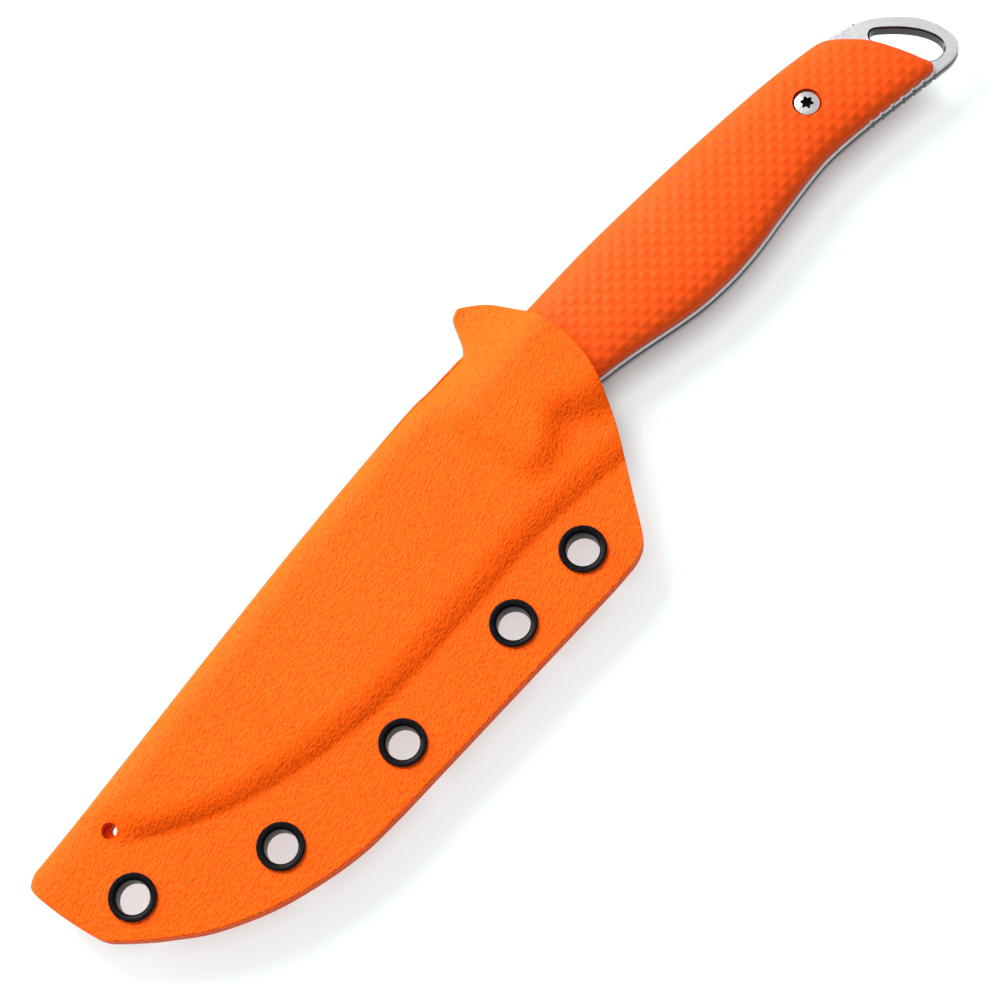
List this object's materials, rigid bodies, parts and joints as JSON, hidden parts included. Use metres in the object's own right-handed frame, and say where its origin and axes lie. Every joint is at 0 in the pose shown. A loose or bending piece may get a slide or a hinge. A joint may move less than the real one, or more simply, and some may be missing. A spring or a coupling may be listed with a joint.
{
  "type": "sheathed sailing knife",
  "caption": "Full-tang fixed-blade sailing knife with textured handle scales, held in a folded moulded sheath with a thumb ear and a row of lacing eyelets.",
  "frame": {"origin": "middle of the footprint of the knife in its sheath, on the surface that it lies on", "axes": "+X along the knife from the sheath's closed end to the lanyard loop, +Y from the cutting edge to the spine, +Z through the thickness"},
  "size_m": [0.248, 0.0608, 0.0176],
  "materials": {
    "sheath": "matte bright orange thermoplastic sheet with a fine leathery grain",
    "eyelet": "satin black lacquered eyelet",
    "blade_steel": "satin stainless steel",
    "scale": "matte red-orange moulded nylon with raised pyramids",
    "fastener": "polished stainless steel"
  },
  "bodies": {
    "sheath": {"sheath_shell": "sheath", "eyelet_1": "eyelet", "eyelet_2": "eyelet", "eyelet_3": "eyelet", "eyelet_4": "eyelet", "eyelet_5": "eyelet"},
    "knife": {"blade": "blade_steel", "upper_scale": "scale", "lower_scale": "scale", "front_barrel": "fastener", "rear_barrel": "fastener", "front_screw_upper": "fastener", "front_screw_lower": "fastener", "rear_screw_upper": "fastener", "rear_screw_lower": "fastener"}
  },
  "joints": [
    {"name": "knife_draw", "type": "slide", "parent": "sheath", "child": "knife", "axis": [1, 0, 0], "range_m": [0, 0.135]}
  ]
}
